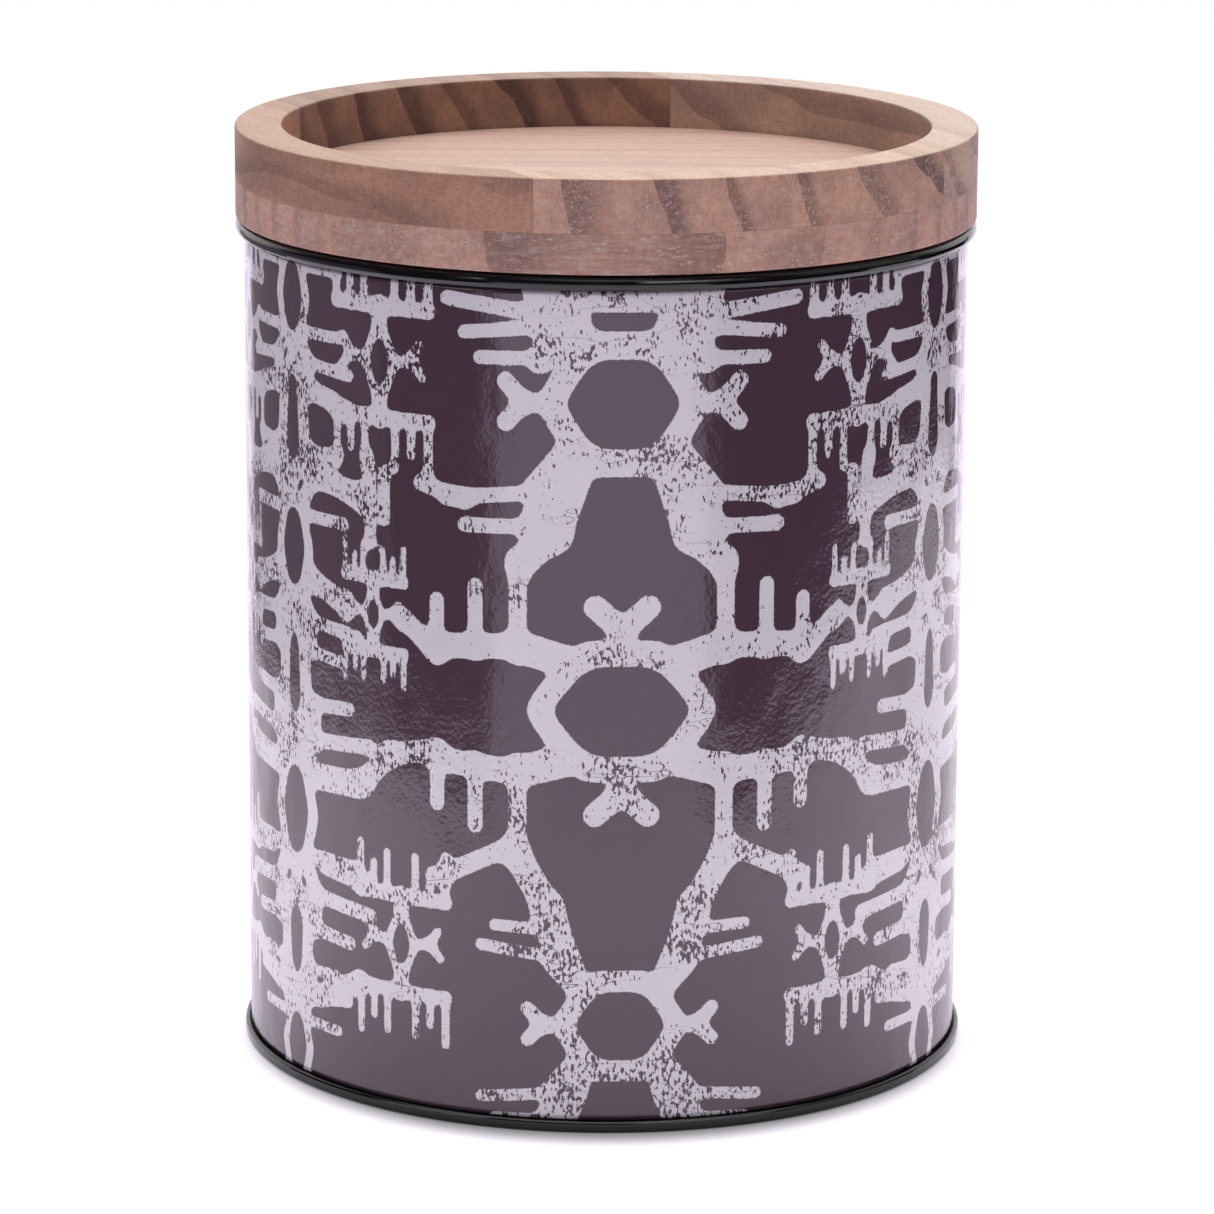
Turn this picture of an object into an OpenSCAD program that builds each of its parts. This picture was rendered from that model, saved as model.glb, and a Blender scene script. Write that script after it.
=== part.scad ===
// Round coffee tin with a wooden lid.
// A rolled tinplate body with a curled mouth stands on a double-seamed bottom and wears a
// printed paper wrap. The lid is a ring of planks glued on a board, so that its top is a
// tray, with a plug below that holds a silicone seal in the mouth.
// Origin at the centre of the base, +Z up, -Y is the front. All sizes in millimetres.

/* [Tin body] */
// Outside diameter over the printed wrap
body_d = 122.1; // [96:0.1:160]
// Height of the mouth, to the top of its curl
mouth_h = 142.3; // [90:0.1:220]
// Thickness of the tinplate
plate_t = 0.3; // [0.2:0.05:0.4]
// Width of the mouth curl, from the inside of the wall
curl_w = 2; // [1.8:0.1:3.5]
// Height of the mouth curl
curl_h = 2.3; // [1.8:0.1:4]
// Width of the lock seam down the back of the body, inside
lock_w = 4; // [3:0.5:8]
// How far the lock seam's folds stand in from the wall
lock_t = 0.7; // [0.5:0.1:1.2]

/* [Bottom] */
// Height of the bottom seam
seam_h = 2; // [1.8:0.1:3.2]
// Play between the folded layers of the bottom seam
fold_gap = 0.1; // [0.05:0.01:0.12]
// Thickness of the lining compound in the foot of the bottom seam
lining_t = 0.3; // [0.2:0.05:0.4]
// Height of the bottom panel above the table
panel_h = 2.6; // [2.2:0.1:5]
// How far the groove round the bottom panel rises above it
groove_rise = 1; // [0.6:0.1:2]
// Width of the groove round the bottom panel
groove_w = 2.4; // [2:0.1:5]
// Space between that groove and the raised bead inside it
bead_margin = 5.4; // [3:0.1:20]
// Width of that bead
bead_w = 6; // [4:0.5:10]
// Height of that bead
bead_h = 0.7; // [0.4:0.1:1.2]

/* [Printed wrap] */
// Thickness of the laminated paper
wrap_t = 0.2; // [0.1:0.05:0.4]
// Bare metal between the wrap and the curl or the seam
wrap_margin = 0.15; // [0.1:0.05:2]
// Width of the lap where the wrap closes at the back
wrap_lap = 8; // [4:1:20]

/* [Wooden lid] */
// How far the lid stands out past the printed body
lid_overhang = 1.45; // [0.5:0.05:6]
// Thickness of the ring round the tray, which is the tray's depth
ring_t = 8.8; // [5:0.1:20]
// Width of that ring
ring_w = 7.9; // [5:0.1:16]
// Thickness of the board under the ring
board_t = 6.6; // [4:0.1:15]
// Play between the closed lid and the mouth curl
lid_play = 0.35; // [0.3:0.05:1]
// Eased edge of the turned wood
edge = 0.4; // [0.2:0.1:1]
// Turn of the ring planks' grain from the front-to-back line
ring_turn = 28; // [0:1:45]
// Joint of the left-hand ring plank, from the centre
left_joint = 39; // [25:1:42]
// Joint of the right-hand ring plank, from the centre
right_joint = 35; // [25:1:42]
// Joint between the board's front and centre planks, from the centre
front_joint = 43; // [30:1:45]
// Joint between the board's centre and rear planks, from the centre
centre_joint = 8; // [0:1:20]
// Joint between the board's rear and back planks, from the centre
back_joint = 44; // [30:1:45]

/* [Plug and seal] */
// Thickness of the plug under the board
plug_t = 9; // [7:0.5:20]
// Space between the plug and the inside of the tin
plug_space = 3.05; // [2:0.05:5]
// Height of the seal's seat in the plug
seat_h = 5; // [4:0.1:6]
// Depth of that seat
seat_depth = 2.4; // [1.5:0.1:4]
// Play between the seal and its seat
seat_play = 0.05; // [0.03:0.01:0.1]
// Play between the seal's lips and the inside of the tin
lip_play = 0.08; // [0.03:0.01:0.1]
// Thickness of each lip
lip_t = 0.8; // [0.5:0.1:1.2]
// Number of lips
lips = 3; // [2:1:3]

/* [Hidden] */
$fn = 96;
arc_steps = 8;
joined = 0.1;
film = 0.02;
clear = 50;

// Tin body
plate_r = body_d / 2 - wrap_t;
inner_r = plate_r - plate_t;
wall_r = plate_r - plate_t / 2;
curl_end = 285;

// Bottom seam: centre lines of its layers, from the inside out, one layer and one play apart
layer = plate_t + fold_gap;
chuck_r = wall_r - layer;
end_hook_r = wall_r + layer;
body_hook_r = wall_r + 2 * layer;
seam_r = wall_r + 3 * layer;
end_fold_z = plate_t / 2;
lining_z = plate_t + film;
body_fold_z = lining_z + lining_t + film + plate_t / 2;
seam_top_z = seam_h - plate_t / 2;
tip_gap = plate_t / 2;
foot_r = 1.25 * layer;

// Bottom panel: the groove and the raised bead follow one another in from the seam
groove_in = chuck_r - groove_w;
groove_foot = groove_in - groove_rise / 2;
bead_d = 2 * (groove_foot - bead_margin) - bead_w;

// Printed wrap
wrap_z0 = seam_h + wrap_margin;
wrap_z1 = mouth_h - curl_h - wrap_margin;

// Lid
lid_r = body_d / 2 + lid_overhang;
tray_r = lid_r - ring_w;
lid_z = mouth_h + lid_play;
tray_z = lid_z + board_t;
lid_top = tray_z + ring_t;
far = lid_r + clear;

// Plug and seal
plug_r = inner_r - plug_space;
plug_z = lid_z - plug_t;
seat_z = lid_z - plug_t / 2 - seat_h / 2;
seat_r = plug_r - seat_depth;
seal_z = seat_z + seat_play;
seal_h = seat_h - 2 * seat_play;
lock_z0 = panel_h + groove_rise + plate_t + 4;
lock_z1 = plug_z - 3;

enamel = "#1b191c";
print = "#5b4e58";
timber = ["#a98573", "#b8927f", "#c09a86", "#9c7a69"];
silicone = "#e8e6e2";

// Sheet metal, as the closed outline of a sheet of thickness t along a centre line

function unit(v) = v / norm(v);
function left_of(v) = [-v.y, v.x];

// The arc that rounds corner b between a and c, with radius r
function corner(a, b, c, r) =
    let (
        u = unit(a - b),
        v = unit(c - b),
        half = acos(u * v) / 2,
        centre = b + unit(u + v) * r / sin(half),
        p = b + u * r / tan(half) - centre,
        q = b + v * r / tan(half) - centre,
        start = atan2(p.y, p.x),
        turn = (atan2(q.y, q.x) - start + 540) % 360 - 180
    )
    [for (i = [0:arc_steps]) centre + r * [cos(start + turn * i / arc_steps), sin(start + turn * i / arc_steps)]];

// A centre line whose points are [r, z, corner radius]
function rounded(points) = [
    for (i = [0:len(points) - 1])
        let (p = [points[i].x, points[i].y])
        each points[i].z == 0 ? [p]
            : corner([points[i - 1].x, points[i - 1].y], p, [points[i + 1].x, points[i + 1].y], points[i].z)
];

// The line's own side at distance d, mitred at each point
function beside(line, d) = [
    for (i = [0:len(line) - 1])
        let (
            before = unit(line[max(i, 1)] - line[max(i, 1) - 1]),
            after = unit(line[min(i, len(line) - 2) + 1] - line[min(i, len(line) - 2)]),
            mitre = unit(before + after)
        )
        line[i] + left_of(mitre) * d / (mitre * after)
];

function reversed(list) = [for (i = [len(list) - 1:-1:0]) list[i]];

module sheet(line, t) {
    rotate_extrude() polygon(concat(beside(line, t / 2), reversed(beside(line, -t / 2))));
}

module tube(r_in, r_out, z0, z1, arc = 360) {
    rotate([0, 0, 90 - arc / 2])
        rotate_extrude(angle = arc)
            translate([r_in, z0]) square([r_out - r_in, z1 - z0]);
}

// Degrees of arc that width w takes at radius r
function arc_of(w, r) = w / r * 180 / PI;

// The mouth's curl: out over the top and back under towards the wall
function curl_line() = [
    for (a = [180:-15:180 - curl_end])
        [inner_r + curl_w / 2, mouth_h - curl_h / 2]
            + [(curl_w - plate_t) / 2 * cos(a), (curl_h - plate_t) / 2 * sin(a)]
];

// Tin body

module body_shell() {
    hook = [
        [body_hook_r, seam_top_z - plate_t / 2 - tip_gap, 0],
        [body_hook_r, body_fold_z, 0.99 * layer],
        [wall_r, body_fold_z, 0.99 * layer],
        [wall_r, wrap_z0, 0]
    ];
    color(enamel) union() {
        sheet(concat(rounded(hook), curl_line()), plate_t);
        tube(inner_r - lock_t, inner_r + joined, lock_z0, lock_z1, arc_of(lock_w, inner_r));
    }
}

module bottom_end() {
    bead_in = (bead_d - bead_w) / 2;
    bead_out = (bead_d + bead_w) / 2;
    groove_z = panel_h + groove_rise;
    line = [
        [0, panel_h, 0],
        [bead_in, panel_h, plate_t],
        [bead_in + bead_h, panel_h + bead_h, plate_t],
        [bead_out - bead_h, panel_h + bead_h, plate_t],
        [bead_out, panel_h, plate_t],
        [groove_foot, panel_h, plate_t],
        [groove_in, groove_z, 2 * plate_t],
        [chuck_r, groove_z, 2 * plate_t],
        [chuck_r, end_fold_z, foot_r],
        [seam_r, end_fold_z, foot_r],
        [seam_r, seam_top_z, 0.99 * layer],
        [end_hook_r, seam_top_z, 0.99 * layer],
        [end_hook_r, body_fold_z + plate_t / 2 + tip_gap, 0]
    ];
    color(enamel) sheet(rounded(line), plate_t);
}

// The lining compound, between the end's fold and the body's
module seam_compound() {
    color("dimgray") tube(chuck_r + foot_r, seam_r - foot_r, lining_z, lining_z + lining_t);
}

module printed_wrap() {
    lap = arc_of(wrap_lap, body_d / 2);
    color(print) union() {
        tube(plate_r, plate_r + wrap_t, wrap_z0, wrap_z1);
        tube(plate_r + wrap_t / 2, plate_r + 2 * wrap_t, wrap_z0 + film, wrap_z1 - film, lap);
    }
}

// Plug and seal

module plug_disc() {
    color(timber[3]) rotate_extrude() polygon([
        [0, plug_z],
        [plug_r - edge, plug_z],
        [plug_r, plug_z + edge],
        [plug_r, seat_z],
        [seat_r, seat_z],
        [seat_r, seat_z + seat_h],
        [plug_r, seat_z + seat_h],
        [plug_r, lid_z],
        [0, lid_z]
    ]);
}

module seal_ring() {
    band_out = plug_r;
    lip_out = inner_r - lip_play;
    pitch = (seal_h - lip_t) / (lips - 1);
    color(silicone) rotate_extrude() union() {
        translate([seat_r + seat_play, seal_z]) square([band_out - seat_r - seat_play, seal_h]);
        for (i = [0:lips - 1])
            translate([band_out, seal_z + i * pitch]) polygon([
                [-joined, 0],
                [lip_out - band_out, lip_t / 4],
                [lip_out - band_out, 3 * lip_t / 4],
                [-joined, lip_t]
            ]);
    }
}

// Wooden lid

module board_blank() {
    rotate_extrude() polygon([
        [0, lid_z],
        [lid_r - edge, lid_z],
        [lid_r, lid_z + edge],
        [lid_r, tray_z],
        [0, tray_z]
    ]);
}

module ring_blank() {
    rotate_extrude() polygon([
        [tray_r, tray_z],
        [lid_r, tray_z],
        [lid_r, lid_top - edge],
        [lid_r - edge, lid_top],
        [tray_r + edge, lid_top],
        [tray_r, lid_top - edge]
    ]);
}

// A plank of the board, its grain along X, between two distances from the centre
module board_plank(y0, y1) {
    intersection() {
        board_blank();
        translate([-far, y0, lid_z - clear]) cube([2 * far, y1 - y0, 2 * clear]);
    }
}

// A plank of the ring, its grain turned, between two distances across and two along the grain
module ring_plank(across, along) {
    intersection() {
        ring_blank();
        rotate([0, 0, ring_turn])
            translate([across[0], along[0], tray_z - clear])
                cube([across[1] - across[0], along[1] - along[0], 2 * clear]);
    }
}

module board_front_plank() { color(timber[0]) board_plank(-far, -front_joint); }
module board_centre_plank() { color(timber[1]) board_plank(-front_joint, centre_joint); }
module board_rear_plank() { color(timber[2]) board_plank(centre_joint, back_joint); }
module board_back_plank() { color(timber[0]) board_plank(back_joint, far); }

module ring_left_plank() { color(timber[3]) ring_plank([-far, -left_joint], [-far, far]); }
module ring_front_plank() { color(timber[1]) ring_plank([-left_joint, right_joint], [-far, 0]); }
module ring_back_plank() { color(timber[0]) ring_plank([-left_joint, right_joint], [0, far]); }
module ring_right_plank() { color(timber[2]) ring_plank([right_joint, far], [-far, far]); }

body_shell();
bottom_end();
seam_compound();
printed_wrap();
seal_ring();
plug_disc();
board_front_plank();
board_centre_plank();
board_rear_plank();
board_back_plank();
ring_left_plank();
ring_front_plank();
ring_back_plank();
ring_right_plank();
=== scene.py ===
# %% [markdown]
# # A printed coffee tin with a turned wooden lid
# The tin is a body of rolled sheet with a curled mouth and a folded bottom seam, wrapped in a
# glossy printed label. The lid is a tray turned from glued planks, with a plug and a rubbery
# seal under it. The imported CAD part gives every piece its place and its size, in metres, so
# nothing here is fitted by eye: a piece is made where the CAD says it is, and it replaces the
# CAD solid or dresses it.

import math

import bmesh
import bpy
import numpy as np
from mathutils import Matrix, Vector


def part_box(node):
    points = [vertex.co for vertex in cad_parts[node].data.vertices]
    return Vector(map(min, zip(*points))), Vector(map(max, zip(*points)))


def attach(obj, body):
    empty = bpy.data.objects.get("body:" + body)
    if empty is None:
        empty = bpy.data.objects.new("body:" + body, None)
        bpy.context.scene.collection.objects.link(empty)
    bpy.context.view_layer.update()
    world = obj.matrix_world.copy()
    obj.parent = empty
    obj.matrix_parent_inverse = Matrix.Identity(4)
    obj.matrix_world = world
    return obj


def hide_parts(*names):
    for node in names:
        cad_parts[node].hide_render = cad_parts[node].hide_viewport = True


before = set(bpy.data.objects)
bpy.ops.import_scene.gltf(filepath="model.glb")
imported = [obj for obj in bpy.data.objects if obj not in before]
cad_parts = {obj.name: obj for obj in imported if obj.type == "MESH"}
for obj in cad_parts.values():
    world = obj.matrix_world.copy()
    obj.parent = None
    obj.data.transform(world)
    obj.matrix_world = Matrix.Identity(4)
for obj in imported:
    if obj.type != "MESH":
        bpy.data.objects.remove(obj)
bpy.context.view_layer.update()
MM = 0.001

# %% [markdown]
# ## Expressions instead of wires
# A node tree is easier to read as arithmetic. A Wire stands for one socket, and each operator
# on it adds the Math node that does that sum, so `1 - mask` or `height * 0.2 + speck` reads as
# it is meant. Colours and places go through Mix and Vector Math, because a Math node keeps a
# single number.

# %% Wires and trees
class Wire:
    def __init__(self, tree, socket):
        self.tree, self.socket = tree, socket

    def math(self, operation, *others):
        return self.tree.node("ShaderNodeMath", {"operation": operation}, [self, *others])

    def __add__(self, other):
        return self.math("ADD", other)

    def __sub__(self, other):
        return self.math("SUBTRACT", other)

    def __rsub__(self, other):
        return self.tree.node("ShaderNodeMath", {"operation": "SUBTRACT"}, [other, self])

    def __mul__(self, other):
        return self.math("MULTIPLY", other)

    def __truediv__(self, other):
        return self.math("DIVIDE", other)

    def __lt__(self, other):
        return self.math("LESS_THAN", other)

    def __gt__(self, other):
        return self.math("GREATER_THAN", other)

    __radd__ = __add__
    __rmul__ = __mul__

    def step(self, low, high, out_low=0.0, out_high=1.0):
        """Eases from out_low to out_high while the value goes from low to high."""
        return self.tree.node("ShaderNodeMapRange", {"interpolation_type": "SMOOTHSTEP"},
                              [self, low, high, out_low, out_high])


class Tree:
    def __init__(self, tree):
        self.tree = tree

    def node(self, kind, settings=None, inputs=(), out=0):
        """Adds a node: its settings first, then the values or wires of its sockets."""
        node = self.tree.nodes.new(kind)
        for name, value in (settings or {}).items():
            setattr(node, name, value)
        pairs = inputs.items() if isinstance(inputs, dict) else enumerate(inputs)
        for name, value in pairs:
            if value is None:
                continue
            socket = node.inputs[name]
            if isinstance(value, Wire):
                self.tree.links.new(value.socket, socket)
            elif isinstance(value, bpy.types.ID):
                socket.default_value = value
            elif hasattr(value, "__len__") and len(socket.default_value) == 4:
                socket.default_value = (*value[:3], 1)
            else:
                socket.default_value = value
        return Wire(self, node.outputs[out]) if len(node.outputs) else node

    def scaled(self, place, by, shift=(0, 0, 0)):
        return self.node("ShaderNodeVectorMath", {"operation": "MULTIPLY_ADD"}, [place, by, shift])

    def split(self, place):
        parts = self.node("ShaderNodeSeparateXYZ", inputs=[place]).socket.node
        return [Wire(self, socket) for socket in parts.outputs]

    def mix(self, factor, a, b, how="MIX"):
        """Mixes two colours."""
        return self.node("ShaderNodeMix", {"data_type": "RGBA", "blend_type": how},
                         {0: factor, 6: a, 7: b}, 2)

    def grey(self, level):
        """A grey whose red, green and blue are all `level`."""
        return self.node("ShaderNodeCombineColor", inputs=[level] * 3)

    def brighter(self, colour, level):
        """A colour times a number."""
        return self.node("ShaderNodeVectorMath", {"operation": "SCALE"},
                         {"Vector": colour, "Scale": level})

    def noise(self, place, size, seed=0.0, detail=2.0, rough=0.5):
        """Cloudy noise whose lumps are about `size` millimetres along each axis."""
        moved = self.scaled(place, [1 / s for s in size], (seed * 7.3, seed * 3.1, seed * 5.7))
        return self.node("ShaderNodeTexNoise", inputs={
            "Vector": moved, "Scale": 1.0, "Detail": detail, "Roughness": rough})

    def cells(self, place, size, seed=0.0):
        """Distance from the middle of scattered cells about `size` millimetres apart."""
        moved = self.scaled(place, [1 / s for s in size], (seed * 4.1, seed * 6.3, seed * 2.9))
        return self.node("ShaderNodeTexVoronoi", inputs={"Vector": moved, "Scale": 1.0})


class Finish(Tree):
    """A material, read in millimetres of the object's own space."""
    def __init__(self, name):
        self.material = bpy.data.materials.new(name)
        self.material.use_nodes = True
        super().__init__(self.material.node_tree)
        self.tree.nodes.clear()

    def place(self, turn=0.0, source="Object"):
        """Object coordinates in millimetres, turned about the upright axis."""
        spot = self.node("ShaderNodeTexCoord", out=source)
        return self.node("ShaderNodeMapping", {"vector_type": "POINT"}, {
            "Vector": spot, "Rotation": (0, 0, math.radians(turn)),
            "Scale": (1 / MM, 1 / MM, 1 / MM)})

    def bump(self, height, depth, under=None):
        """Raises the surface by `depth` millimetres where the height is 1."""
        return self.node("ShaderNodeBump", inputs={
            "Height": height, "Strength": 1.0, "Distance": depth * MM, "Normal": under})

    def surface(self, **sockets):
        names = {"colour": "Base Color", "rough": "Roughness", "metal": "Metallic",
                 "normal": "Normal", "ior": "IOR",
                 "inside": "Subsurface Weight", "inside_depth": "Subsurface Scale",
                 "glow": "Emission Color", "glow_strength": "Emission Strength"}
        skin = self.node("ShaderNodeBsdfPrincipled",
                         inputs={names[name]: value for name, value in sockets.items()})
        self.node("ShaderNodeOutputMaterial", inputs=[skin])
        return self.material


print("wires ready")

# %% [markdown]
# ## The camera
# A long lens far away keeps the tin's sides nearly upright while it looks a little down into
# the tray. The distance and the tilt follow from how open the lid's and the base's ellipses
# should look: about 8 degrees at the lid and 17 degrees at the base.

# %% Camera
camera_data = bpy.data.cameras.new("camera")
camera = bpy.data.objects.new("camera", camera_data)
bpy.context.scene.collection.objects.link(camera)
SENSOR_WIDTH, FOCAL_LENGTH = 36, 167.9
CAMERA_PLACE = (0.0005, -0.946, 0.2966)
CAMERA_TILT, CAMERA_ROLL = 13.23, 0.3
camera_data.sensor_width, camera_data.lens = SENSOR_WIDTH, FOCAL_LENGTH
camera_data.clip_start, camera_data.clip_end = 0.05, 20
camera.matrix_world = (
    Matrix.Translation(CAMERA_PLACE)
    @ Matrix.Rotation(math.radians(90 - CAMERA_TILT), 4, "X")
    @ Matrix.Rotation(math.radians(CAMERA_ROLL), 4, "Z"))
bpy.context.scene.camera = camera
bpy.context.scene.view_settings.view_transform = "Standard"
print("camera stands", -CAMERA_PLACE[1], "m in front of the axis")

# %% [markdown]
# ## Light and floor
# Gloss shows only what it mirrors, so a studio for glossy packaging is planned as a picture all
# round the tin. Seen from slightly above, the upright label mirrors what lies below the
# horizon: the white table in front, and the darkness to its left and right, which draws two
# long dark streaks. The streaks end lower down, where the label mirrors the white sheet that
# the tin stands on. Two soft boxes at the front corners and a bright ceiling light the wood,
# and the room in front is dark, so that the black curl stays black but for one thin line of
# light.

# %% Studio
# where things stand, in degrees to the right of the front, and how high the soft boxes hang
LEFT_DARK, LEFT_DIM, RIGHT_DARK = (-76, -36), (-155, -76), (33, 150)
LEFT_BOX, RIGHT_BOX, BOX_CLIMB = (-80, -40), (12, 59), (27, 41)
RIGHT_WALL, RIGHT_WALL_CLIMB = (64, 112), (6, 50)
# and how bright they are
TABLE_LEVEL, BACKDROP_LEVEL, CEILING_LEVEL, ROOM_LEVEL = 1.3, 1.1, 2.0, 0.04
LEFT_BOX_LEVEL, RIGHT_BOX_LEVEL, RIGHT_WALL_LEVEL = 5.2, 3.2, 0.4
TABLE_WHITE = (1.0, 0.90, 1.08)
world = bpy.data.worlds.new("studio")
bpy.context.scene.world = world
world.use_nodes = True
sky = Tree(world.node_tree)
sky.tree.nodes.clear()
east, north, up = sky.split(sky.node("ShaderNodeTexCoord", out="Generated"))
# which way a direction lies, in degrees: 0 to the front and rising to the right, and its height
turn = east.math("ARCTAN2", north * -1) * (180 / math.pi)
climb = up.math("ARCSINE") * (180 / math.pi)
aside = turn.math("ABSOLUTE")


def between(value, low, high, soft):
    """1 from low to high and 0 outside, with soft edges."""
    return value.step(low - soft, low + soft) * (1 - value.step(high - soft, high + soft))


table = (1 - between(turn, *LEFT_DARK, 3) * 0.96) * (1 - between(turn, *LEFT_DIM, 3) * 0.76)
table = table * (1 - between(turn, *RIGHT_DARK, 2))
backdrop = aside.step(112, 135)
left_box = between(turn, *LEFT_BOX, 3) * between(climb, *BOX_CLIMB, 2)
right_box = between(turn, *RIGHT_BOX, 3) * between(climb, *BOX_CLIMB, 2)
right_wall = between(turn, *RIGHT_WALL, 5) * between(climb, *RIGHT_WALL_CLIMB, 4)
ceiling = climb.step(52, 62)
room = (backdrop * BACKDROP_LEVEL + left_box * LEFT_BOX_LEVEL + right_box * RIGHT_BOX_LEVEL
        + right_wall * RIGHT_WALL_LEVEL + ceiling * CEILING_LEVEL + ROOM_LEVEL)
above = climb.step(-1, 2)
glow = table * (1 - above) * TABLE_LEVEL + room * above
seen = sky.node("ShaderNodeLightPath", out="Is Camera Ray")
level = glow * (1 - seen) + seen
# the table's white is a little lilac, which cools the reflections and the wood's underside
lilac = sky.mix((1 - above) * (1 - seen), (1, 1, 1), TABLE_WHITE)
picture = sky.node("ShaderNodeBackground", inputs=[sky.brighter(lilac, level), 1.0])
sky.node("ShaderNodeOutputWorld", inputs=[picture])


def new_object(name, vertices, faces):
    mesh = bpy.data.meshes.new(name)
    mesh.from_pydata(vertices, [], faces)
    mesh.update()
    for face in mesh.polygons:
        face.use_smooth = True
    piece = bpy.data.objects.new(name, mesh)
    bpy.context.scene.collection.objects.link(piece)
    return piece


FLOOR_SIDES = 128
FLOOR_REACH, FLOOR_SWEEP, FLOOR_LEFT = 0.275, 0.24, 0.035
sides = np.linspace(-180, 180, FLOOR_SIDES, endpoint=False)
# the sheet reaches further to the right, which slants the lower end of the streak on that side
spread = np.clip((sides - 43) / 60, 0, 1) * np.clip((180 - sides) / 50, 0, 1)
reach = FLOOR_REACH + FLOOR_SWEEP * spread * spread * (3 - 2 * spread)
reach += FLOOR_LEFT * np.clip((-50 - sides) / 30, 0, 1)
floor = new_object("floor", [
    (r * math.sin(math.radians(t)), -r * math.cos(math.radians(t)), 0)
    for r, t in zip(reach, sides)], [range(FLOOR_SIDES)])
paper = Finish("floor_paper")
paper_spot = paper.place()
mottle = paper.noise(paper_spot, (30, 30, 30), 1)
paper_x, paper_y, _ = paper.split(paper_spot)
# painted shadow round the tin's foot, narrow and reaching forward, because most of the light comes
# from behind it: it darkens the sheet's colour and its glow
SHADOW_FORWARD, SHADOW_EASE = 6.0, 8.0
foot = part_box("bottom_end")[1].x / MM
forward = paper_y + SHADOW_FORWARD
painted_foot_shadow = (paper_x * paper_x + forward * forward).math("SQRT").step(
    foot - SHADOW_FORWARD, foot - SHADOW_FORWARD + SHADOW_EASE, 0.3, 1)
# the sheet is lit from below, as on a light table: more at its sides, less behind the tin
paper_seen = paper.node("ShaderNodeLightPath", out="Is Camera Ray")
side_glow = (paper_x.math("ABSOLUTE").step(50, 170) * 0.4 + 0.38) * paper_y.step(-20, 80, 1, 0.25)
under_glow = paper.brighter((1.0, 0.91, 1.07), side_glow)
paper_white = paper.mix(mottle, (0.90, 0.83, 0.93), (0.93, 0.86, 0.96))
floor.data.materials.append(paper.surface(
    colour=paper.mix(1.0, paper_white, paper.grey(painted_foot_shadow), "MULTIPLY"), rough=0.9,
    glow=paper.brighter(paper.mix(paper_seen, under_glow, (0.42, 0.42, 0.42)), painted_foot_shadow),
    glow_strength=1.0))
print("floor reaches", round(float(reach.max()), 2), "m to the right")

# %% [markdown]
# ## The print
# The label's print is a block print in one light ink on a dark ground: hexagon windows in thick
# frames, combs with round-ended teeth and little forked finials, repeated three times round the
# tin and mirrored about each column. It could be painted as an image. Here each shape is a
# distance: negative inside the ink, positive outside. Distances blend into one another with
# soft corners, and they stay sharp at any zoom, so one number at each point of a fine mesh is
# enough for crisp edges.

# %% Distances
def stroke(u, v, start, end, half):
    """Distance to a round-ended line."""
    du, dv = end[0] - start[0], end[1] - start[1]
    along = np.clip(((u - start[0]) * du + (v - start[1]) * dv) / (du * du + dv * dv), 0, 1)
    return np.hypot(u - start[0] - along * du, v - start[1] - along * dv) - half


def window(u, v, wide, high, flat, soft=2.4):
    """Distance to a hexagon with a flat top and bottom and rounded corners."""
    nu, nv = high / 2, (wide - flat) / 2
    side = (np.abs(u) * nu + np.hypot(v, high / 10) * nv - wide / 2 * nu) / math.hypot(nu, nv)
    top = np.abs(v) - high / 2
    blend = np.maximum(soft - np.abs(side - top), 0) / soft
    return np.maximum(side, top) + blend * blend * soft / 4


def joined(a, b, soft=1.2):
    blend = np.maximum(soft - np.abs(a - b), 0) / soft
    return np.minimum(a, b) - blend * blend * soft / 4


def all_ways(lines, upside_down=True):
    """Each line and its mirror images."""
    ways = [(1, 1), (-1, 1)] + ([(1, -1), (-1, -1)] if upside_down else [])
    return [(a * u0, b * v0, a * u1, b * v1, half)
            for u0, v0, u1, v1, half in lines for a, b in ways]


FORK = [(0, 0, 0, 3, 1.4), (0, 3, 3.3, 6, 1.5), (0, 3, -3.3, 6, 1.5)]


def fork(u, v, quarter, size):
    """A forked finial that points up, left, down or right."""
    c, s = [(1, 0), (0, 1), (-1, 0), (0, -1)][quarter]
    return [(u + size * (c * a - s * b), v + size * (s * a + c * b),
             u + size * (c * d - s * e), v + size * (s * d + c * e), size * half)
            for a, b, d, e, half in FORK]


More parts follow.
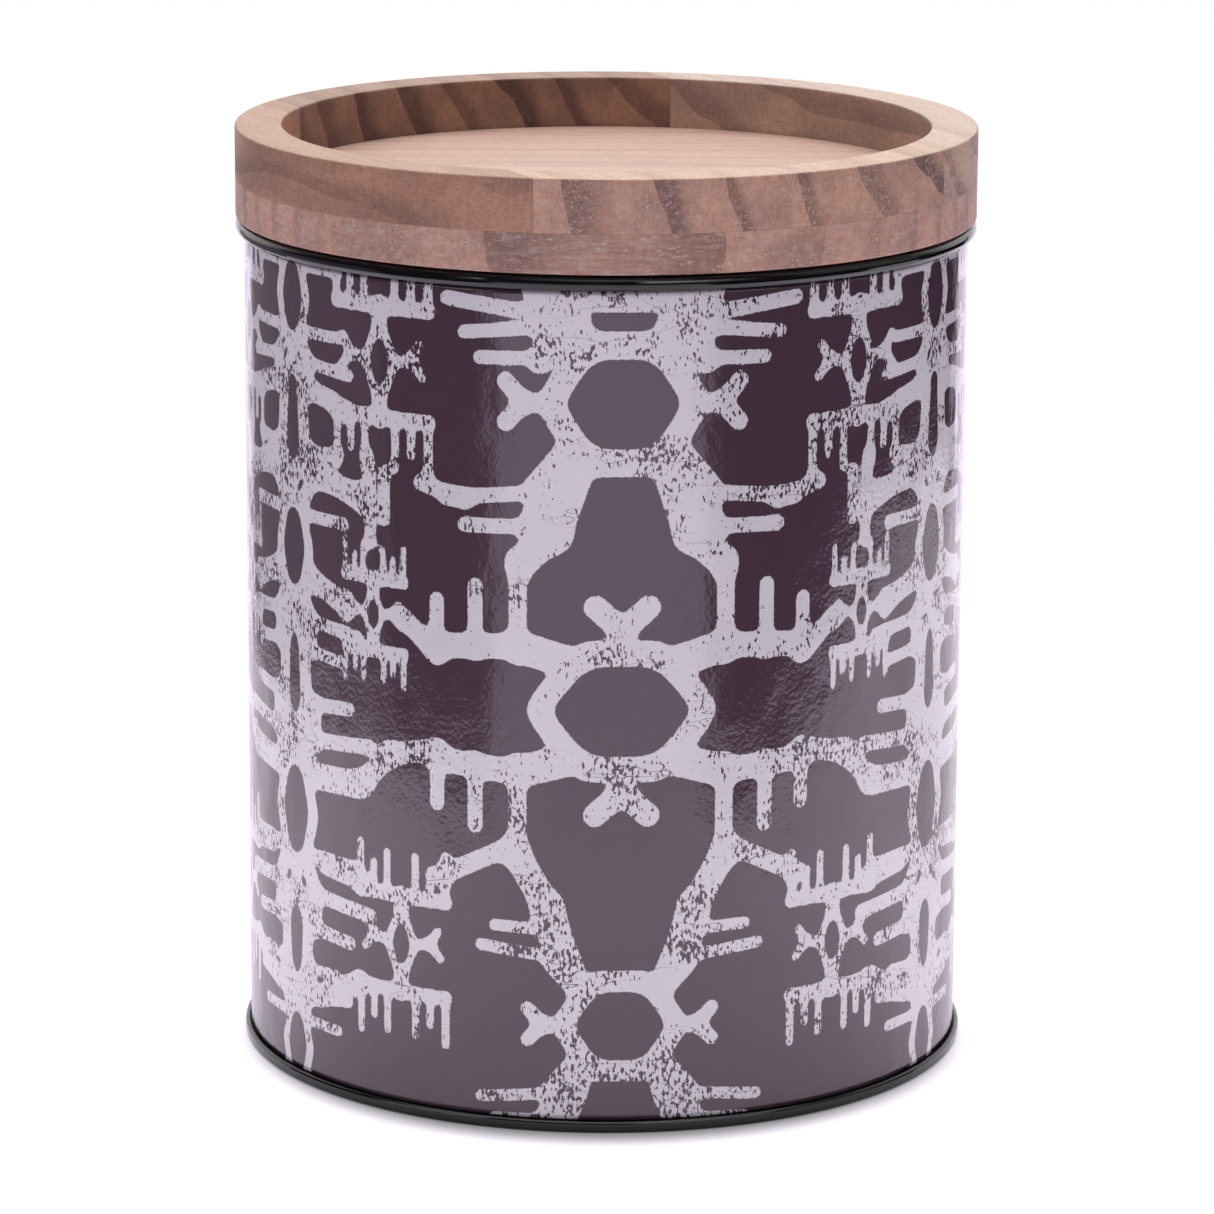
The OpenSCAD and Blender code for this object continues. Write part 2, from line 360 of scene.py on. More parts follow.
# Each motif: its window (wide, high, flat), its frame's thickness and its lines
MOTIFS = {
    "lantern": ((20, 14.6, 9.5), 4.5,
                all_ways([(8, 8, 13, 14, 3), (13, 14, 15, 21, 2.1), (13, 14.5, 29, 16.2, 1.25),
                          (13.6, 20.2, 26, 20.6, 1.25)])
                + fork(13, 0, 3, 1) + fork(-13, 0, 1, 1)),
    "posts": ((24.5, 15, 11), 4.3,
              all_ways([(10, 8.5, 17, 10.5, 2.7), (17, 10.5, 31, 9.5, 2.1), (17, 9, 17, 25, 1.5),
                        (24.2, 9, 24.2, 20, 1.3), (31, 8.5, 31, 17, 1.3)])
              + fork(0, 9.5, 0, 1.3) + fork(0, -9.5, 2, 1.3)),
    "seed": ((4.4, 9, 1.8), 1.7,
             all_ways([(0, 6, 0, 10, 1.3), (-10, 9.5, 10, 9.5, 0.9), (10, 9.5, 10, 19, 0.85),
                       (6.6, 9.5, 6.6, 15.5, 0.8), (3.3, 9.5, 3.3, 18, 0.8)])
             + all_ways([(2.4, 0, 6.5, 0.9, 0.95), (6.5, 0.9, 8.3, 3.6, 0.9),
                         (6.5, 0.9, 8.9, -1.8, 0.9)], False)),
    "ladder": ((7.6, 13.4, 3.4), 2.4,
               all_ways([(3, 7.8, 5.5, 11.5, 1.6), (5, 11.5, 17, 12.5, 1.15),
                         (5.6, 16.8, 13, 17.4, 1.05), (5.5, 11.5, 5.6, 17, 1.2),
                         (5, 6, 14, 6, 1.1)])
               + fork(0, 9, 0, 1) + fork(0, -9, 2, 1)),
}
WRAP_REPEATS = 3
wrap_low, wrap_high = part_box("printed_wrap")
LAP_RISE = wrap_high.y - wrap_high.x
wrap_radius = wrap_high.x
repeat = 2 * math.pi * wrap_radius / MM / WRAP_REPEATS
half_way = repeat / 2
# Where the motifs stand: a name, a place across and up, and a size
LAYOUT = [
    ("lantern", 0, 119.5, 1), ("lantern", 0, 145, 0.9), ("posts", 0, 69, 1),
    ("lantern", 0, 16, 0.8), ("ladder", half_way, 90, 1), ("ladder", half_way, 45, 1.15),
    ("ladder", half_way, 132, 0.9), ("ladder", half_way, 4, 0.85),
    ("seed", 42, 124, 0.95), ("seed", 43.5, 82, 0.62), ("seed", 38, 27, 0.85)]
# The necks that join them into one network
NECKS = [
    (8, 107, 11, 98, 2.1), (11, 98, 16.5, 93, 1.8), (8, 131, 10, 136, 2.4), (31, 61, 40, 59, 1.4),
    (40, 59, 46, 53, 1.4), (46, 53, 58, 52, 1.6), (17, 44.5, 12, 36, 1.8), (12, 36, 9, 27, 1.9),
    (18, 46, 30, 40, 1.2), (31, 77, 37, 82, 1.3), (50, 82, 58, 86, 1.3), (46, 100, 56, 104, 1.3),
    (60, 104, 61, 116, 1.2), (60, 58, 61, 77, 1.3), (44.5, 108, 44, 94, 0.9),
    (41, 106, 41, 98, 0.8), (50, 115, 57, 117, 1.2), (26, 103, 34, 105, 1),
    (60, 30, 61, 14, 1.2), (47, 19, 57, 14, 1.3), (8, 5, 10, 0, 2.2), (46, 36, 55, 37, 1.2)]
NECK_SWELL = 1.3
FIRST_COLUMN = 3.0


def ink(u, v):
    """Distance to the light ink, in millimetres, at a place on the label."""
    folded = np.abs((u - FIRST_COLUMN + half_way) % repeat - half_way)
    light, holes = np.full(u.shape, 1e3), np.full(u.shape, 1e3)
    for name, middle_u, middle_v, size in LAYOUT:
        (wide, high, flat), rim, lines = MOTIFS[name]
        x, y = (folded - middle_u) / size, (v - middle_v) / size
        outer = window(x, y, wide + 2.4 * rim, high + 2 * rim, flat + 0.9 * rim)
        light = joined(light, size * outer)
        for u0, v0, u1, v1, half in lines:
            light = joined(light, size * stroke(x, y, (u0, v0), (u1, v1), half))
        holes = np.minimum(holes, size * window(x, y, wide, high, flat))
    for u0, v0, u1, v1, half in NECKS:
        light = joined(light, stroke(folded, v, (u0, v0), (u1, v1), NECK_SWELL * half), 2)
    return np.maximum(light, -holes)


print("print repeats every", round(repeat, 1), "mm")

# %% [markdown]
# ## The wrap
# The label is one sheet of laminated paper, rolled round the tin and lapped over itself behind.
# One edge of the lap shows as a step, and at the other the sheet climbs over its own buried
# end. A fine grid bent round the tin carries the print's distance at each point, with a flat
# map in millimetres that the specks of the print read, so that they lie on the sheet as
# printed.

# %% Wrap
CELL = 0.8
columns = int(2 * math.pi * wrap_radius / MM / CELL)
rows = int((wrap_high.z - wrap_low.z) / MM / CELL)
LAP_WIDTH, RAMP_WIDTH, PAPER = 0.004, 0.0015, 0.0002
lap = LAP_WIDTH / wrap_radius
# angles run from the hidden edge's step, round by the front, to the free edge at the back
turns = np.linspace(-math.pi + lap, math.pi + lap, columns + 1)
ramp = np.clip((turns - (math.pi - lap)) / (RAMP_WIDTH / wrap_radius), 0, 1)
radii = wrap_radius + (ramp * ramp * (3 - 2 * ramp)) * LAP_RISE
heights = np.linspace(wrap_low.z, wrap_high.z, rows + 1)
inner = wrap_radius - PAPER
grid_turn, grid_z = np.meshgrid(turns, heights)
outer_points = np.stack([np.sin(grid_turn) * radii, -np.cos(grid_turn) * radii, grid_z], -1)
inner_points = np.stack([np.sin(turns) * inner, -np.cos(turns) * inner], -1)
vertices = outer_points.reshape(-1, 3).tolist()
row = columns + 1
faces = [(j * row + i, j * row + i + 1, (j + 1) * row + i + 1, (j + 1) * row + i)
         for j in range(rows) for i in range(columns)]
low_inner = len(vertices)
vertices += [(x, y, wrap_low.z) for x, y in inner_points.tolist()]
high_inner = len(vertices)
vertices += [(x, y, wrap_high.z) for x, y in inner_points.tolist()]
top_row = rows * row
for i in range(columns):
    faces += [(low_inner + i + 1, low_inner + i, high_inner + i, high_inner + i + 1),
              (i + 1, i, low_inner + i, low_inner + i + 1),
              (top_row + i, top_row + i + 1, high_inner + i + 1, high_inner + i)]
# the free edge of the lap: a step from the last column down to the first
faces += [(j * row + columns, j * row, (j + 1) * row, (j + 1) * row + columns)
          for j in range(rows)]
wrap = new_object("label_wrap", vertices, faces)
work = bmesh.new()
work.from_mesh(wrap.data)
bmesh.ops.remove_doubles(work, verts=work.verts, dist=1e-7)
bmesh.ops.recalc_face_normals(work, faces=work.faces)
work.to_mesh(wrap.data)
work.free()
count = len(wrap.data.vertices)
spots = np.empty(count * 3)
wrap.data.vertices.foreach_get("co", spots)
spots = spots.reshape(-1, 3)
spot_turn = np.arctan2(spots[:, 0], -spots[:, 1])
spot_u = spot_turn * wrap_radius / MM
spot_v = (spots[:, 2] - wrap_low.z) / MM
distance = wrap.data.attributes.new("ink", "FLOAT", "POINT")
distance.data.foreach_set("value", ink(spot_u, spot_v))
flat_map = wrap.data.uv_layers.new(name="flat")
corner = np.empty(len(wrap.data.loops), dtype=int)
wrap.data.loops.foreach_get("vertex_index", corner)
corner_u = spot_u[corner] * MM
corner_v = spot_v[corner] * MM
flat_map.data.foreach_set("uv", np.stack([corner_u, corner_v], -1).ravel())
for face in wrap.data.polygons:
    face.use_smooth = True
print("wrap", len(wrap.data.polygons), "faces")

# %% [markdown]
# ## The laminate
# The light ink is printed dry: dark specks and scratches show through it, thick in some patches
# and missing in others, and its edges are a little ragged. Over the ink lies a clear film. It
# mirrors the studio softly, because film on paper is never quite flat: fine ripples break up
# the edges of what it mirrors.

# %% Label finish
DARK_GROUND = (0.055, 0.030, 0.043), (0.070, 0.040, 0.056)
LIGHT_INK = (0.575, 0.545, 0.59), (0.63, 0.60, 0.645)
FILM_IOR, RIPPLE_DEPTH, WAVE_DEPTH = 1.6, 0.045, 0.4
label = Finish("glossy_wrap_print")
sheet = label.place(source="UV")
edge_noise = label.noise(sheet, (0.55, 0.55, 1), 1, 3, 0.6)
ink_distance = label.node("ShaderNodeAttribute", {"attribute_name": "ink"}, out="Fac")
worn_distance = ink_distance + (edge_noise - 0.5) * 0.35
light_ink = worn_distance.step(0.09, -0.09)
patches = label.noise(sheet, (13, 11, 1), 2, 3, 0.55).step(0.38, 0.62)
blotches = label.noise(sheet, (4.2, 5.5, 1), 3, 2, 0.5)
specks = label.noise(sheet, (0.5, 1.05, 1), 4, 3, 0.55)
scratches = label.noise(sheet, (0.9, 7, 1), 5, 3, 0.6)
bare_level = specks + (blotches - 0.5) * 0.33 + patches * 0.16 + (scratches - 0.5) * 0.25
bare = bare_level.step(0.69, 0.705)
crack_level = (label.noise(sheet, (34, 8, 1), 6, 3, 0.55) - 0.5).math("ABSOLUTE")
crack = crack_level.step(0.0035, 0.0015) * patches
printed = light_ink * (1 - bare) * (1 - crack)
fine = label.noise(sheet, (0.25, 0.25, 1), 7, 2)
dark = label.mix(fine, *DARK_GROUND)
pale = label.mix(label.noise(sheet, (20, 20, 1), 8), *LIGHT_INK)
ripple = label.noise(sheet, (0.7, 0.8, 1), 9, 2, 0.5)
wave = label.noise(sheet, (10, 18, 1), 10, 2)
film = label.bump(ripple, RIPPLE_DEPTH, label.bump(wave, WAVE_DEPTH))
wrap.data.materials.append(label.surface(
    colour=label.mix(printed, dark, pale), rough=0.09 + fine * 0.05, ior=FILM_IOR, normal=film))
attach(wrap, "tin")
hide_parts("printed_wrap")
print("label finish", len(label.tree.nodes), "nodes")

# %% [markdown]
# ## Enamel and bare tinplate
# The outside of the tin, its curled mouth and its base are black stoving enamel: glossy, with a
# faint orange peel, dust and light scuffs. The inside is bare tinplate, with the grain that the
# rolling mill leaves. One material serves both, because it can tell the inside by its distance
# from the tin's axis.

# %% Enamel
curl_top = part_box("body_shell")[1].z
# millimetres: the wall's inside and the bottom panel's rim from the axis, and the curl's height
WALL_INSIDE, PANEL_INSIDE, CURL_HEIGHT = 60.57, 59.6, 2.4
enamel = Finish("black_enamel_sheet")
spot = enamel.place()
x, y, z = enamel.split(spot)
from_axis = (x * x + y * y).math("SQRT")
inside = (from_axis < WALL_INSIDE) * (z < curl_top / MM - CURL_HEIGHT)
facing = enamel.split(enamel.node("ShaderNodeNewGeometry", out="Normal"))[2]
inside = inside.math("MAXIMUM", (from_axis < PANEL_INSIDE) * (facing > 0.05))
dust = enamel.noise(spot, (0.5, 0.5, 0.5), 1, 3, 0.7).step(0.7, 0.76)
scuff = enamel.noise(spot, (5, 5, 0.6), 2, 4, 0.7).step(0.55, 0.8)
peel = enamel.noise(spot, (1.6, 1.6, 1.6), 3, 2)
mill = enamel.noise(spot, (0.12, 0.12, 40), 4, 3, 0.7)
black = enamel.mix(scuff, (0.0042, 0.0040, 0.0052), (0.011, 0.011, 0.014))
black = enamel.mix(dust * 0.35, black, (0.09, 0.09, 0.1))
tinplate = enamel.mix(mill, (0.52, 0.51, 0.49), (0.66, 0.65, 0.63))
enamel_sheet = enamel.surface(
    colour=enamel.mix(inside, black, tinplate),
    metal=inside,
    rough=(0.045 + scuff * 0.12 + dust * 0.2) * (1 - inside) + (0.26 + mill * 0.16) * inside,
    ior=1.5,
    normal=enamel.bump(peel, 0.006, enamel.bump(mill * inside, 0.006)))
compound = Finish("seam_compound_rubber")
grit = compound.noise(compound.place(), (0.4, 0.4, 0.4), 1, 3)
seam_rubber = compound.surface(
    colour=compound.mix(grit, (0.10, 0.09, 0.08), (0.17, 0.16, 0.14)), rough=0.7,
    normal=compound.bump(grit, 0.02))


def dress(name, material):
    """Gives a CAD node a material in place of its own."""
    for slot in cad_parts[name].material_slots:
        slot.material = material


for name in ("body_shell", "bottom_end"):
    dress(name, enamel_sheet)
dress("seam_compound", seam_rubber)
print("enamel", len(enamel.tree.nodes), "nodes")

# %% [markdown]
# ## Turned shapes
# Everything on a lathe follows one rule: an outline is carried round an axis. Curve to Mesh or
# a Screw modifier could do it. This small Geometry Nodes tree says the rule outright: it lays a
# grid with one row for each point of the outline, bends the grid round the axis, lets the wall
# wander by a few hundredths of a millimetre as hand-sanded wood does, and closes it up.

# %% The lathe
def lathe_tree():
    group = bpy.data.node_groups.new("lathe", "GeometryNodeTree")
    face = group.interface
    face.new_socket("Outline", in_out="INPUT", socket_type="NodeSocketGeometry")
    for name, kind, value in (("Steps", "NodeSocketInt", 360),
                              ("Wander", "NodeSocketFloat", 0.0),
                              ("Wander size", "NodeSocketFloat", 0.01)):
        face.new_socket(name, in_out="INPUT", socket_type=kind).default_value = value
    face.new_socket("Finish", in_out="INPUT", socket_type="NodeSocketMaterial")
    face.new_socket("Turned", in_out="OUTPUT", socket_type="NodeSocketGeometry")
    lathe = Tree(group)
    given = group.nodes.new("NodeGroupInput")
    outline, steps, wander, wander_size, finish = [Wire(lathe, s) for s in given.outputs[:5]]
    points = lathe.node("GeometryNodeAttributeDomainSize", {"component": "MESH"}, [outline])
    row = points + 1
    grid = lathe.node("GeometryNodeMeshGrid", inputs={
        "Size X": 1.0, "Size Y": 1.0, "Vertices X": steps + 1, "Vertices Y": row})
    index = lathe.node("GeometryNodeInputIndex")
    column = (index / row + 0.0001).math("FLOOR")
    number = index - column * row
    number = number - points * (number > points - 0.5)
    position = lathe.node("GeometryNodeInputPosition")
    corner = lathe.node("GeometryNodeSampleIndex", {"data_type": "FLOAT_VECTOR"},
                        {"Geometry": outline, "Value": position, "Index": number})
    radius, _, height = lathe.split(corner)
    angle = column / steps * (2 * math.pi)
    circle_spot = lathe.node("ShaderNodeCombineXYZ", inputs=[
        radius * angle.math("COSINE"), radius * angle.math("SINE"), height])
    around = lathe.node("ShaderNodeVectorMath", {"operation": "DIVIDE"}, [
        circle_spot, lathe.node("ShaderNodeCombineXYZ", inputs=[wander_size] * 3)])
    drift = lathe.node("ShaderNodeTexNoise", inputs={
        "Vector": around, "Scale": 1.0, "Detail": 2.0})
    # the wander only ever takes wood away, towards the axis
    slim = 1 - drift * wander / radius.math("MAXIMUM", 0.001)
    sanded = lathe.node("ShaderNodeVectorMath", {"operation": "MULTIPLY"}, [
        circle_spot, lathe.node("ShaderNodeCombineXYZ", inputs=[slim, slim, 1.0])])
    bent = lathe.node("GeometryNodeSetPosition", inputs={"Geometry": grid, "Position": sanded})
    closed = lathe.node("GeometryNodeMergeByDistance", inputs={
        "Geometry": bent, "Distance": 2e-6})
    plain = lathe.node("GeometryNodeRealizeInstances", inputs=[closed])
    dressed = lathe.node("GeometryNodeSetMaterial", inputs={
        "Geometry": plain, "Material": finish})
    result = group.nodes.new("NodeGroupOutput")
    group.links.new(dressed.socket, result.inputs[0])
    return group


lathe = lathe_tree()


def turned(name, outline, finish, steps=360, wander=0.0, wander_size=0.01):
    """Turns a closed outline of (radius, height) points, in metres, into a plain mesh."""
    source = new_object(name + "_outline", [(r, 0, z) for r, z in outline], [])
    modifier = source.modifiers.new("lathe", "NODES")
    modifier.node_group = lathe
    keys = {item.name: item.identifier for item in lathe.interface.items_tree
            if item.in_out == "INPUT"}
    for label_name, value in (("Steps", steps), ("Wander", wander), ("Wander size", wander_size),
                              ("Finish", finish)):
        modifier[keys[label_name]] = value
    seen_object = source.evaluated_get(bpy.context.evaluated_depsgraph_get())
    mesh = bpy.data.meshes.new_from_object(seen_object)
    source.modifiers.remove(modifier)
    bpy.data.objects.remove(source)
    piece = bpy.data.objects.new(name, mesh)
    mesh.name = name
    bpy.context.scene.collection.objects.link(piece)
    work = bmesh.new()
    work.from_mesh(mesh)
    bmesh.ops.recalc_face_normals(work, faces=work.faces)
    work.to_mesh(mesh)
    work.free()
    return piece


def eased(corners, round_steps=4, spacing=0.0012):
    """A closed outline of corners (radius, height, rounding), with points along its sides."""
    rounded = []
    count = len(corners)
    for i, (r, z, ease) in enumerate(corners):
        here = Vector((r, z))
        if ease == 0:
            rounded.append(here)
            continue
        before = (Vector(corners[i - 1][:2]) - here).normalized() * ease
        after = (Vector(corners[(i + 1) % count][:2]) - here).normalized() * ease
        for k in range(round_steps + 1):
            t = k / round_steps
            rounded.append(here + before * (1 - t) ** 2 + after * t ** 2)
    outline = []
    for i, here in enumerate(rounded):
        there = rounded[(i + 1) % len(rounded)]
        pieces = max(1, round((there - here).length / spacing))
        outline += [tuple(here.lerp(there, k / pieces)) for k in range(pieces)]
    return outline


print("lathe inputs:", [item.name for item in lathe.interface.items_tree])

# %% [markdown]
# ## Timber
# A plank is a slice of a tree, so its figure is solid: the same rings run through every face.
# The material keeps that rule. It measures how far each point lies from the middle of the tree
# the plank came from, and draws a ring each few millimetres: pale early wood that darkens to a
# sharp edge. Cut across, the rings stand as bands; cut along, they lie as long streaks; and
# each plank gets its own tree, its own direction of grain and its own tone, which is what makes
# glued-up wood look glued up.

# %% Wood finish
EARLY_LIGHT, EARLY_DARK = (0.47, 0.25, 0.175), (0.31, 0.168, 0.132)
EARLY_STREAK, LATE_WOOD = (0.31, 0.165, 0.125), (0.118, 0.056, 0.050)
# the next colour is painted sheen: faces that point up are drawn in this paler tone
PAINTED_SHEEN_TOP = (0.58, 0.372, 0.295)
# the last colour on the next line is a bleached grey, which on the right ring plank is also
# painted sheen
CHALK, PORE, BLEACH_AND_SHEEN_GREY = (0.60, 0.46, 0.38), (0.12, 0.06, 0.045), (0.50, 0.39, 0.37)
# millimetres from the axis: up to the first a wall is the tray's, from the second the outer one
TRAY_WALL, OUTER_WALL = 57, 60
GRAIN_RELIEF, WOOD_IOR = 0.022, 1.45


def wood(name, grain, heart, ring, seed, tone=(1, 1, 1), shift=0.0, contrast=1.0, haze=0.0,
         sway=1.3, late_share=(0.16, 0.68), flecks=1.0, pale_from=1e3):
    """Timber with its grain `grain` degrees from X and a ring every `ring` millimetres.

    The middle of the tree lies at `heart`: across the grain, and up. `shift` moves the rings by
    that share of one, and `sway` bends them. `late_share` is the least and the most of a ring
    that is dark, and from `pale_from` millimetres outwards the dark is faint. `haze` is how
    bleached the outer wall is, and on the right ring plank it is also painted sheen. `flecks`
    is how many pores are filled with chalk.
    """
    def dyed(colour):
        return [part * dye for part, dye in zip(colour, tone)]

    timber = Finish(name)
    spot = timber.place(turn=-grain)
    along, across, height = timber.split(spot)
    side, rise = across - heart[0], height - heart[1]
    wander = timber.noise(spot, (80, 13, 30), seed, 2) - 0.5
    tremble = timber.noise(spot, (14, 3.0, 3.0), seed + 1, 3) - 0.5
    reach = (side * side + rise * rise).math("SQRT") + wander * (ring * sway) + tremble * 0.35
    age = reach / ring + shift
    year = age.math("FLOOR")
    season = age - year
    # each year draws how much of its ring is dark, and how dark
    chance = timber.node("ShaderNodeTexWhiteNoise", {"noise_dimensions": "1D"},
                         {"W": year + seed})
    share = chance * (late_share[1] - late_share[0]) + late_share[0]
    late = ((season - 1) / share + 1).math("MAXIMUM", 0).step(0, 0.7)
    strength = timber.node("ShaderNodeTexWhiteNoise", {"noise_dimensions": "1D"},
                           {"W": year + seed + 0.5}) * 0.45 + 0.55
    strength = strength * reach.step(pale_from, pale_from + 3, 1, 0.25)
    facing = timber.split(timber.node("ShaderNodeNewGeometry", out="Normal"))[2]
    # painted sheen: on faces that point up the colour is drawn paler, and the dark bands and
    # streaks fade
    flat_top = facing.step(0.6, 0.95)
    fibre = timber.noise(spot, (6, 0.22, 0.22), seed + 2, 3, 0.65)
    streak = timber.noise(spot, (34, 1.1, 0.8), seed + 3, 4, 0.65)
    cloud = timber.noise(spot, (26, 9, 9), seed + 4, 3)
    mealy = timber.noise(spot, (1.2, 0.5, 0.5), seed + 9, 3, 0.6)
    band = (late * strength * (streak * 0.7 + mealy * 0.7 + 0.35)
            * (1 - flat_top * 0.78) * contrast)
    early = timber.mix(cloud.step(0.35, 0.68), dyed(EARLY_LIGHT), dyed(EARLY_DARK))
    early = timber.mix(flat_top, early, dyed(PAINTED_SHEEN_TOP))
    early = timber.mix(streak.step(0.43, 0.66) * (0.55 - flat_top * 0.3),
                       early, dyed(EARLY_STREAK))
    colour = timber.mix(band.math("MINIMUM", 1), early, dyed(LATE_WOOD))
    outer_wall = (along * along + across * across).math("SQRT").step(TRAY_WALL, OUTER_WALL)
    inner_walls_and_underside = (1 - outer_wall) * (1 - flat_top)
    rays = timber.noise(spot, (0.8, 0.32, 3.2), seed + 10, 3, 0.6)
    # grain texture times painted shade: inner walls and the underside are drawn a tenth darker
    grain_and_painted_shade = (fibre * 0.7 + mealy * 0.5 + rays * 0.5 + 0.16) * (1 - inner_walls_and_underside * 0.1)
    colour = timber.mix(1.0, colour, timber.grey(grain_and_painted_shade), "MULTIPLY")
    crowd = timber.noise(spot, (9, 4, 3), seed + 6) + late * 0.12
    vessels = timber.noise(spot, (1.5, 0.42, 0.42), seed + 5, 2, 0.5)
    chalk = (vessels + crowd * 0.3).step(0.79, 0.82)
    colour = timber.mix(chalk * (0.45 * flecks) * (1 - flat_top * 0.8) * (1 - inner_walls_and_underside * 0.6),
                        colour, CHALK)
    pores = timber.cells(spot, (3.5, 0.4, 0.4), seed + 7) < 0.18
    colour = timber.mix(pores * 0.3, colour, PORE)
    # handling bleaches the outer wall, not the wall inside the tray; on the right ring plank this
    # grey is also painted sheen
    bleach_and_painted_sheen = timber.noise(spot, (6, 1.6, 1.1), seed + 8, 5, 0.75).step(0.44, 0.72) * haze
    colour = timber.mix(bleach_and_painted_sheen * (1 - flat_top) * outer_wall, colour, BLEACH_AND_SHEEN_GREY)
    return timber.surface(
        colour=colour, rough=0.44 + fibre * 0.14 + late * 0.06, ior=WOOD_IOR,
        normal=timber.bump(fibre + chalk * 0.6 - pores * 0.8, GRAIN_RELIEF))


print("timber ready")

# %% [markdown]
# ## The board and the ring of the lid
# The lid is two layers: a board of four planks with their grain from side to side, and on it a
# ring of four planks set at an angle, both turned true on the lathe after gluing. So each layer
# is turned as one blank and then sawn, and the saw leaves a hairline where the real glue line
# shows.

# %% Lid planks
board_low, board_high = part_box("board_centre_plank")
lid_r, lid_z, tray_z = board_high.x, board_low.z, board_high.z
lid_top = max(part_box(name)[1].z for name in ("ring_left_plank", "ring_right_plank"))
RING_WIDTH, GLUE_LINE = 0.0079, 0.00002
tray_r = lid_r - RING_WIDTH
LID_ARRIS, LAYER_ARRIS, TRAY_CORNER = 0.00045, 0.00012, 0.0001
SANDING, SANDING_SIZE = 0.00006, 0.012
SHARP_EDGE = math.radians(35)


def sawn(name, blank, cuts, finish):
    """Keeps the part of a blank that lies behind every cut (a point and a direction)."""
    mesh = blank.data.copy()
    work = bmesh.new()
    work.from_mesh(mesh)
    for point, direction in cuts:
        direction = Vector(direction).normalized()
        bmesh.ops.bisect_plane(
            work, geom=work.verts[:] + work.edges[:] + work.faces[:], clear_outer=True,
            plane_co=Vector(point) - direction * GLUE_LINE, plane_no=direction)
        rim = [edge for edge in work.edges if edge.is_boundary]
        if rim:
            bmesh.ops.holes_fill(work, edges=rim)
    bmesh.ops.recalc_face_normals(work, faces=work.faces)
    work.to_mesh(mesh)
    work.free()
    mesh.name = name
    mesh.materials.clear()
    mesh.materials.append(finish)
    mesh.set_sharp_from_angle(angle=SHARP_EDGE)
    piece = bpy.data.objects.new(name, mesh)
    bpy.context.scene.collection.objects.link(piece)
    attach(piece, "lid")
    return piece


board_blank = turned("board_blank", eased([
    (0, lid_z, 0), (lid_r, lid_z, LID_ARRIS), (lid_r, tray_z, LAYER_ARRIS), (0, tray_z, 0)]),
    None, steps=360, wander=SANDING, wander_size=SANDING_SIZE)
ring_blank = turned("ring_blank", eased([
    (tray_r, tray_z, TRAY_CORNER), (lid_r, tray_z, LAYER_ARRIS), (lid_r, lid_top, LID_ARRIS),
    (tray_r, lid_top, LID_ARRIS)]), None, steps=400, wander=SANDING, wander_size=SANDING_SIZE)
print("lid radius", round(lid_r / MM, 2), "mm, tray radius", round(tray_r / MM, 2), "mm")

# %% [markdown]
# ### Four planks for the board
# A plank is told by its cuts and by its timber. A cut is a point and the way to the wood that
# falls off. The board's joints lie where the CAD planks end. The front plank shows most, so its
# rings hardly sway, and only the ones nearest the tree's middle are dark enough to stand out as
# bands.

# %% Board planks
FRONT_JOINT, CENTRE_JOINT, BACK_JOINT = (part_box(name)[1].y for name in (
    "board_front_plank", "board_centre_plank", "board_rear_plank"))
toward_back, toward_front = (0, 1, 0), (0, -1, 0)


def joint(y, toward):
    return (0, y, 0), toward


board = [
    ("board_front_plank", [joint(FRONT_JOINT, toward_back)],
     wood("wood_board_front", grain=0, heart=(-150, 150), ring=7.7, seed=3.0,
          tone=(1.12, 1.18, 1.2), shift=0.235, contrast=0.85, haze=0.6, sway=0.12,
          late_share=(0.4, 0.6), pale_from=91)),
    ("board_centre_plank", [joint(FRONT_JOINT, toward_front), joint(CENTRE_JOINT, toward_back)],
     wood("wood_board_centre", grain=0, heart=(-160, 150), ring=6.5, seed=11.0,
          tone=(1.16, 1.22, 1.3), contrast=0.35, haze=0.75, sway=0.3)),
    ("board_rear_plank", [joint(CENTRE_JOINT, toward_front), joint(BACK_JOINT, toward_back)],
     wood("wood_board_rear", grain=0, heart=(120, 130), ring=8.0, seed=23.0,
          tone=(1.1, 1.14, 1.18), contrast=0.6, haze=0.5)),
    ("board_back_plank", [joint(BACK_JOINT, toward_front)],
     wood("wood_board_back", grain=0, heart=(90, 170), ring=7.0, seed=31.0,
          tone=(1.05, 1.05, 1.1), contrast=0.8, haze=0.6)),
]


def saw_up(blank, planks):
    """Saws a blank into its planks, each in place of its CAD node."""
    for node, cuts, finish in planks:
        piece = sawn("wood_" + node, blank, cuts, finish)
        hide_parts(node)
        print(piece.name, len(piece.data.polygons), "faces")
    bpy.data.objects.remove(blank)


saw_up(board_blank, board)
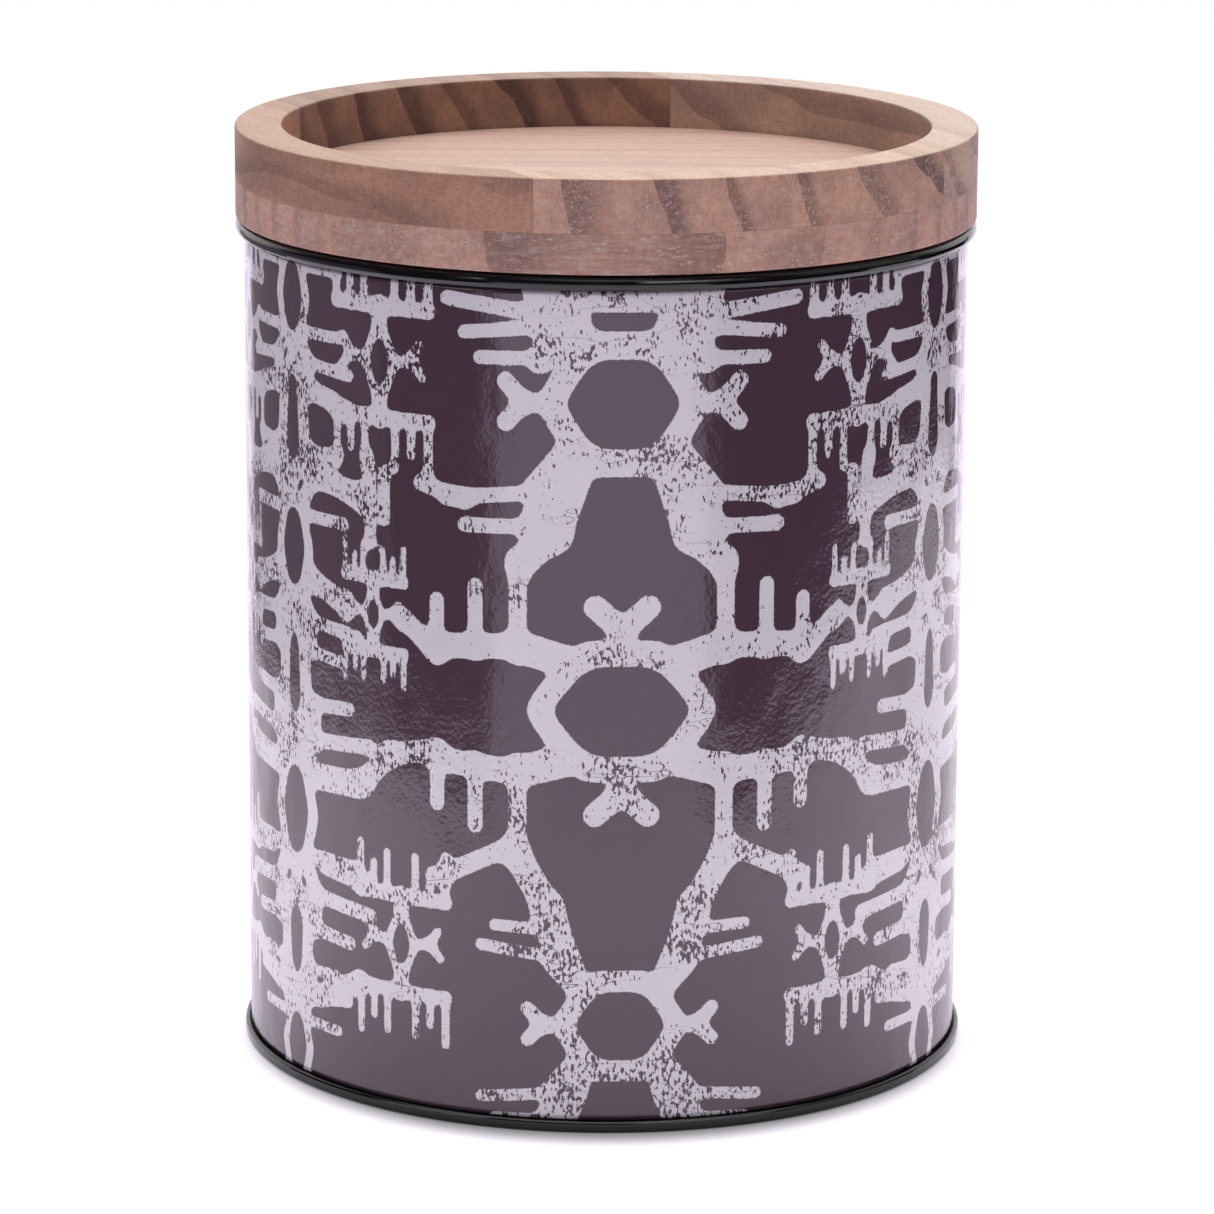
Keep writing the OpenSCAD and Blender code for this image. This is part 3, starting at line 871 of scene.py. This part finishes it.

# %% [markdown]
# ### Four planks for the ring
# The ring's grain runs 28 degrees off the front-to-back line, and its two joints follow that
# grain. A third cut crosses the empty opening and touches no wood: it only parts the front
# plank from the back one. The light trees go to the front and right planks, the dark ones to
# the left and back. The right plank's paler, greyer tone and strong haze are partly painted
# sheen.

# %% Ring planks
RING_TURN = 28
RING_GRAIN = 90 + RING_TURN
LEFT_JOINT, RIGHT_JOINT = 0.039, 0.035
grain_way = Vector((-math.sin(math.radians(RING_TURN)), math.cos(math.radians(RING_TURN)), 0))
across_way = Vector((math.cos(math.radians(RING_TURN)), math.sin(math.radians(RING_TURN)), 0))
left, right = across_way * -LEFT_JOINT, across_way * RIGHT_JOINT
ring = [
    ("ring_left_plank", [(left, across_way)],
     wood("wood_ring_left", grain=RING_GRAIN, heart=(30, 190), ring=13, seed=41.0,
          tone=(0.87, 0.84, 0.78), shift=0.3, contrast=0.35, haze=0.1, flecks=0.3)),
    ("ring_front_plank", [(left, -across_way), (right, across_way), ((0, 0, 0), grain_way)],
     wood("wood_ring_front", grain=RING_GRAIN, heart=(-45, 172), ring=11.6, seed=52.0,
          tone=(1.14, 1.2, 1.17), shift=-0.02, haze=0.4, sway=0.5, late_share=(0.2, 0.62))),
    ("ring_back_plank", [(left, -across_way), (right, across_way), ((0, 0, 0), -grain_way)],
     wood("wood_ring_back", grain=RING_GRAIN, heart=(-70, 190), ring=9.0, seed=63.0,
          tone=(0.70, 0.66, 0.63), contrast=0.9, haze=0.1, sway=0.9, late_share=(0.4, 0.75),
          flecks=0.35)),
    # partly painted sheen: this plank's paler, greyer tone and strong haze stand for the grey
    # gloss on the lid's right side
    ("ring_right_plank", [(right, -across_way)],
     wood("wood_ring_right", grain=RING_GRAIN, heart=(-60, 172), ring=10.0, seed=74.0,
          tone=(1.08, 1.25, 1.31), contrast=0.5, haze=0.95, sway=0.8, late_share=(0.25, 0.6),
          flecks=0.6)),
]
saw_up(ring_blank, ring)

# %% [markdown]
# ## The plug and its seal
# Under the board a turned plug drops into the mouth, and a soft ring with three lips sits in a
# groove round it and grips the wall. Both are hidden until the lid lifts.

# %% Plug and seal
dress("plug_disc", wood("wood_plug", grain=12, heart=(-80, 90), ring=7, seed=85.0,
                        tone=(1.03, 1.03, 1.0), contrast=0.7, haze=0.1))
MILK, LINT = ((0.70, 0.69, 0.66), (0.78, 0.77, 0.75)), (0.45, 0.43, 0.4)
soft = Finish("silicone_seal")
milk = soft.noise(soft.place(), (3, 3, 1), 1, 2)
lint = soft.noise(soft.place(), (0.35, 0.35, 0.35), 2, 3, 0.7).step(0.68, 0.75)
dress("seal_ring", soft.surface(
    colour=soft.mix(lint * 0.3, soft.mix(milk, *MILK), LINT),
    rough=0.34 + milk * 0.1, inside=0.25, inside_depth=0.002,
    normal=soft.bump(milk + lint * 0.3, 0.02)))

# %% [markdown]
# ## Last update
# The view layer is brought up to date once more.

# %% Finish
bpy.context.view_layer.update()
